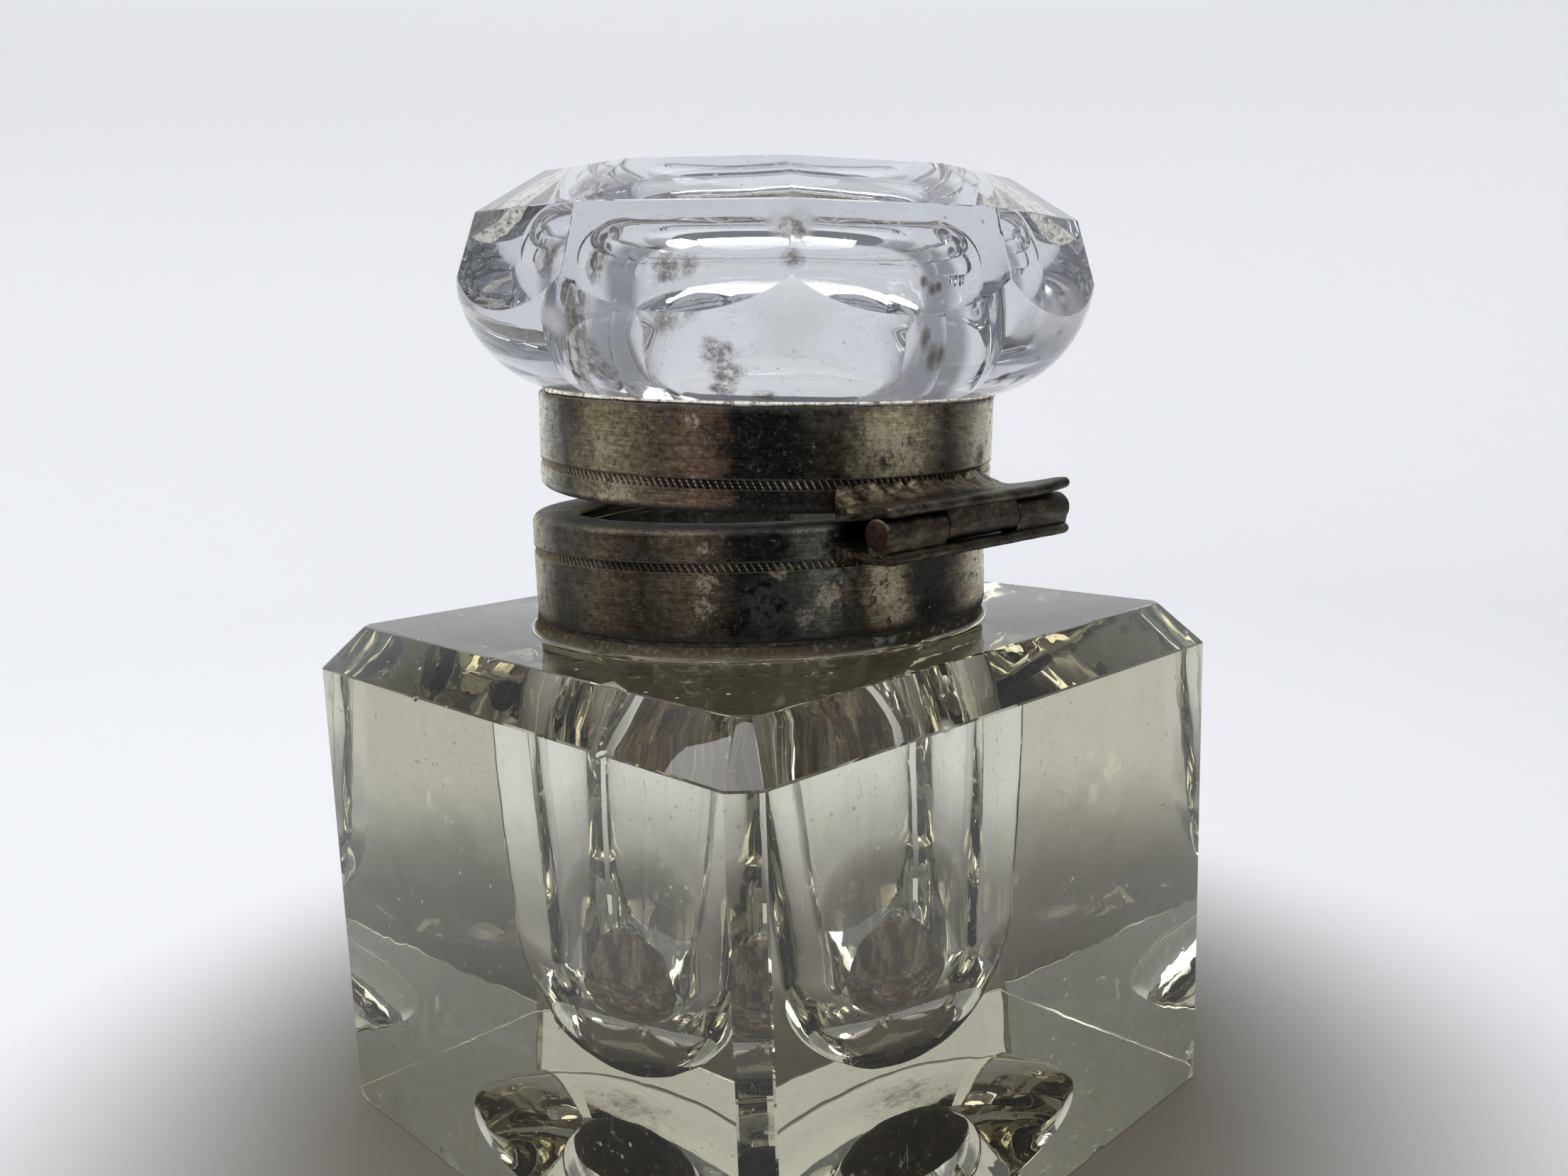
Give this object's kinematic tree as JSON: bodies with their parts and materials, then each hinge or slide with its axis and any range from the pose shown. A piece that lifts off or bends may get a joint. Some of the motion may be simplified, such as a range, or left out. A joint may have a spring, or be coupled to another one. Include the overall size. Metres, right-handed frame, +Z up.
{
  "type": "inkwell",
  "caption": "Square cut-glass inkwell with bevelled shoulders, metal collars, and a hinged hollow glass lid with cut facets.",
  "frame": {"origin": "centre of the block's underside, on the surface it stands on", "axes": "+Z up along the well; +Y towards the hinge at the back; -Y towards the front, where the lid lifts; +X to the right seen from the front"},
  "size_m": [0.05, 0.05, 0.0728],
  "materials": {
    "glass": "clear polished cut glass with faint grey tint, small chips and fine scratches",
    "cement": "old plaster cement, off-white with brown dirt",
    "silver_plate": "worn silver plate over brass, blackened and streaked, with a milled band",
    "tarnished_brass": "dark brown tarnish, rubbed bright on the edges",
    "pin_steel": "brown rusted steel wire"
  },
  "bodies": {
    "base": {"glass_block": "glass", "lower_cement": "cement", "lower_collar": "silver_plate", "lower_hinge_leaf": "tarnished_brass", "right_knuckle": "tarnished_brass", "left_knuckle": "tarnished_brass", "hinge_pin": "pin_steel"},
    "lid": {"lid_glass": "glass", "upper_cement": "cement", "upper_collar": "silver_plate", "upper_hinge_leaf": "tarnished_brass", "middle_knuckle": "tarnished_brass"}
  },
  "joints": [
    {"name": "lid_hinge", "type": "hinge", "parent": "base", "child": "lid", "pos_m": [0, 0.02095, 0.04805], "axis": [-1, 0, 0], "range_deg": [-3.47, 95]}
  ]
}
